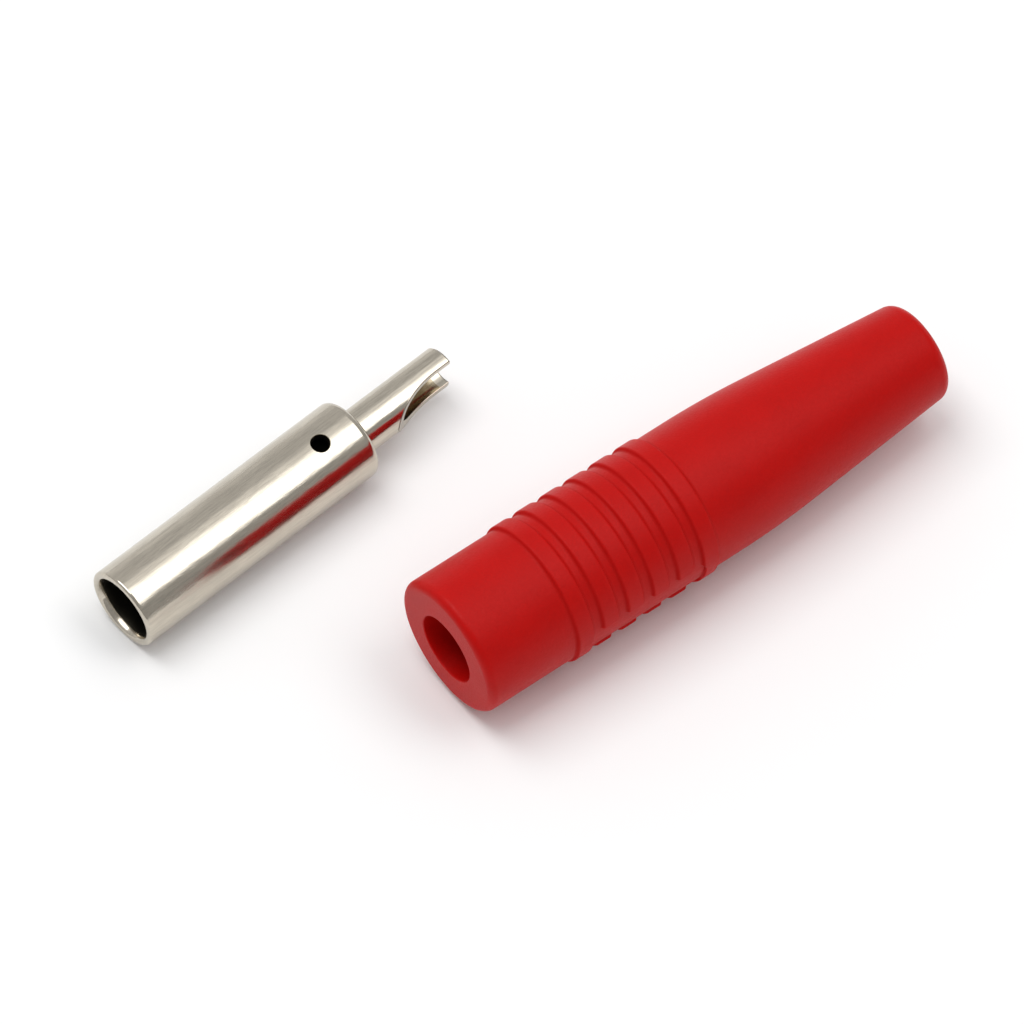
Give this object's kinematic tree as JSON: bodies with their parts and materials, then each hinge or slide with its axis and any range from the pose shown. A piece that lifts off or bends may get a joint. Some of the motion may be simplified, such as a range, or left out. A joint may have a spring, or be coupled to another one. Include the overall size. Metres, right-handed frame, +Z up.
{
  "type": "in-line banana socket",
  "caption": "In-line banana socket taken apart: a nickel-plated contact tube with a milled solder cup lies beside its red insulating sleeve with ringed grip and tapered cable end.",
  "frame": {"origin": "on the surface the two pieces lie on, under the middle of their common box", "axes": "+Z up from the surface; +X along the sleeve, from its front face to its cable end; +Y from the sleeve to the contact"},
  "size_m": [0.0476, 0.0232, 0.0091],
  "materials": {
    "nickel_plate": "nickel-plated brass, turned, bright with fine turning marks",
    "red_pvc": "soft moulded PVC, matt with a fine grain"
  },
  "bodies": {
    "root": {"socket_contact": "nickel_plate", "insulating_sleeve": "red_pvc"}
  },
  "joints": []
}
